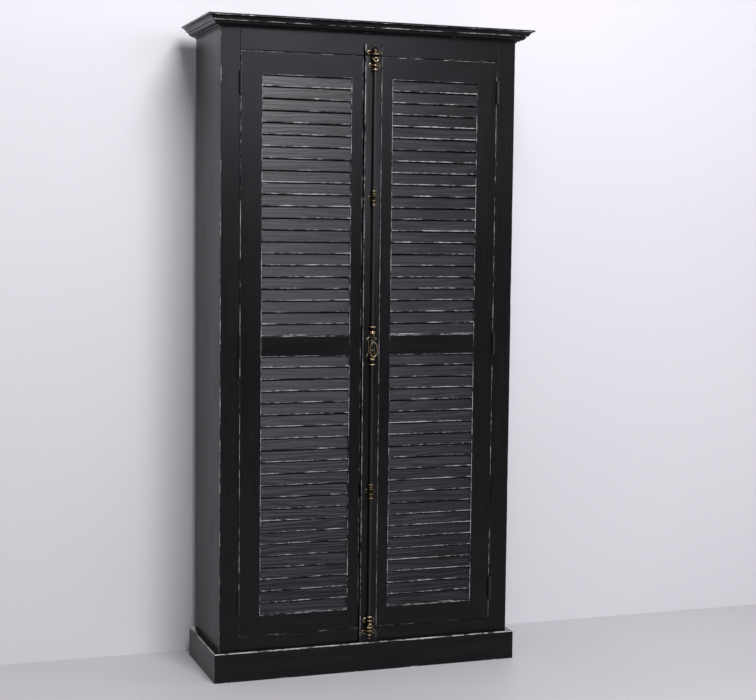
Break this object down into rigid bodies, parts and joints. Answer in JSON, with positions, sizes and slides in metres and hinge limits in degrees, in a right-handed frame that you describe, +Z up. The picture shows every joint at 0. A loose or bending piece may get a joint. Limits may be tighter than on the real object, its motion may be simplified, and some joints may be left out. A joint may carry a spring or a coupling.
{
  "type": "pantry cabinet",
  "caption": "Tall free-standing two-door cabinet with fixed louvres, cornice and plinth, inner shelves, butt hinges and a surface cremone bolt with a drop-ring handle.",
  "frame": {"origin": "on the floor under the middle of the whole cabinet, cornice included", "axes": "+X to the cabinet's right seen from the front, -Y out of the front, +Z up"},
  "size_m": [1.118, 0.402, 2.15],
  "materials": {
    "painted_wood": "satin black paint rubbed through to pale wood on the edges",
    "painted_slats": "thin satin black paint with the grain showing, rubbed on the lower edges",
    "antique_brass": "darkened cast brass, bright on the high spots",
    "black_iron": "satin black",
    "steel": "plain steel"
  },
  "bodies": {
    "root": {"back_panel": "painted_wood", "bottom_front_rail": "painted_wood", "bottom_keeper": "antique_brass", "bottom_keeper_block": "painted_wood", "ceiling_board": "painted_wood", "cornice_front": "painted_wood", "cornice_left": "painted_wood", "cornice_right": "painted_wood", "cornice_top_board": "painted_wood", "floor_board": "painted_wood", "frame_hinge_leaves": "black_iron", "frame_hinge_screws": "black_iron", "hinge_pins": "black_iron", "keeper_screws": "antique_brass", "left_front_stile": "painted_wood", "left_side_panel": "painted_wood", "plinth_front": "painted_wood", "plinth_left": "painted_wood", "plinth_right": "painted_wood", "right_front_stile": "painted_wood", "right_side_panel": "painted_wood", "shelf_1": "painted_wood", "shelf_2": "painted_wood", "shelf_3": "painted_wood", "shelf_4": "painted_wood", "shelf_pegs": "steel", "top_front_rail": "painted_wood", "top_keeper": "antique_brass", "top_keeper_block": "painted_wood"},
    "left_door": {"left_door_bottom_rail": "painted_wood", "left_door_hinge_leaves": "black_iron", "left_door_hinge_screws": "black_iron", "left_door_hinge_stile": "painted_wood", "left_door_meeting_stile": "painted_wood", "left_door_mid_rail": "painted_wood", "left_door_top_rail": "painted_wood", "left_lower_slats": "painted_slats", "left_upper_slats": "painted_slats"},
    "right_door": {"astragal": "painted_wood", "cremone_screws": "antique_brass", "lock_backplate": "antique_brass", "lock_case": "antique_brass", "lower_end_guide": "antique_brass", "middle_rod_guides": "antique_brass", "right_door_bottom_rail": "painted_wood", "right_door_hinge_leaves": "black_iron", "right_door_hinge_screws": "black_iron", "right_door_hinge_stile": "painted_wood", "right_door_meeting_stile": "painted_wood", "right_door_mid_rail": "painted_wood", "right_door_top_rail": "painted_wood", "right_lower_slats": "painted_slats", "right_upper_slats": "painted_slats", "upper_end_guide": "antique_brass"},
    "upper_rod": {"upper_rod": "black_iron"},
    "lower_rod": {"lower_rod": "black_iron"},
    "handle": {"turn_knob": "antique_brass", "pinion": "steel"},
    "bail": {"bail_ring": "antique_brass"}
  },
  "joints": [
    {"name": "left_door_hinge", "type": "hinge", "parent": "root", "child": "left_door", "pos_m": [-0.445, -0.156, 1.096], "axis": [0, 0, -1], "range_deg": [0, 170]},
    {"name": "right_door_hinge", "type": "hinge", "parent": "root", "child": "right_door", "pos_m": [0.445, -0.156, 1.096], "axis": [0, 0, 1], "range_deg": [0, 170]},
    {"name": "upper_rod_slide", "type": "slide", "parent": "right_door", "child": "upper_rod", "axis": [0, 0, 1], "range_m": [0, 0.01413]},
    {"name": "lower_rod_slide", "type": "slide", "parent": "right_door", "child": "lower_rod", "axis": [0, 0, -1], "range_m": [0, 0.01415]},
    {"name": "handle_turn", "type": "hinge", "parent": "right_door", "child": "handle", "pos_m": [0, -0.1745, 1.108], "axis": [0, -1, 0], "range_deg": [0, 180]},
    {"name": "bail_swing", "type": "hinge", "parent": "handle", "child": "bail", "pos_m": [0, -0.191, 1.108], "axis": [-1, 0, 0], "range_deg": [0, 180]}
  ],
  "couplings": [
    {"joint": "handle_turn", "follows": "upper_rod_slide", "rad_per_m": 222.22},
    {"joint": "lower_rod_slide", "follows": "upper_rod_slide", "ratio": 1}
  ]
}
